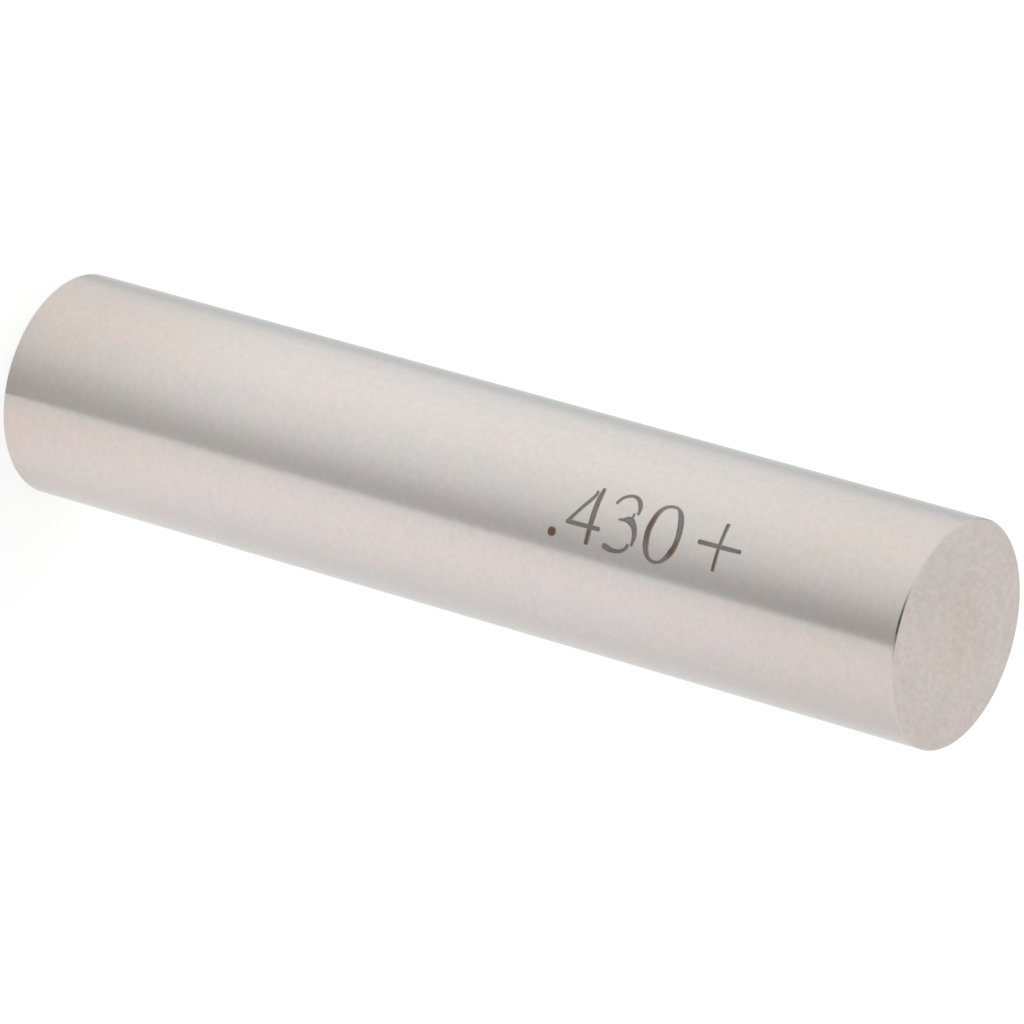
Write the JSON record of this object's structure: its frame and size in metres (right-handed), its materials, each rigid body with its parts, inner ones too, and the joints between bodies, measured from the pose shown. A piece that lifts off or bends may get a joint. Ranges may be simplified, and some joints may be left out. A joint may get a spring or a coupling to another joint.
{
  "type": "pin gauge",
  "caption": "Plain steel pin gauge: a ground and lapped straight cylinder with flat ends and finely broken end edges.",
  "frame": {"origin": "centre of the lower end face, on which the pin stands", "axes": "+Z along the pin's axis, from the lower end to the upper end; every azimuth about Z is alike"},
  "size_m": [0.011, 0.011, 0.0508],
  "materials": {
    "ground_steel": "hardened steel, ground and lapped round the axis, with a fine satin sheen; the ends are ground matt"
  },
  "bodies": {
    "root": {"gauge_pin": "ground_steel"}
  },
  "joints": []
}
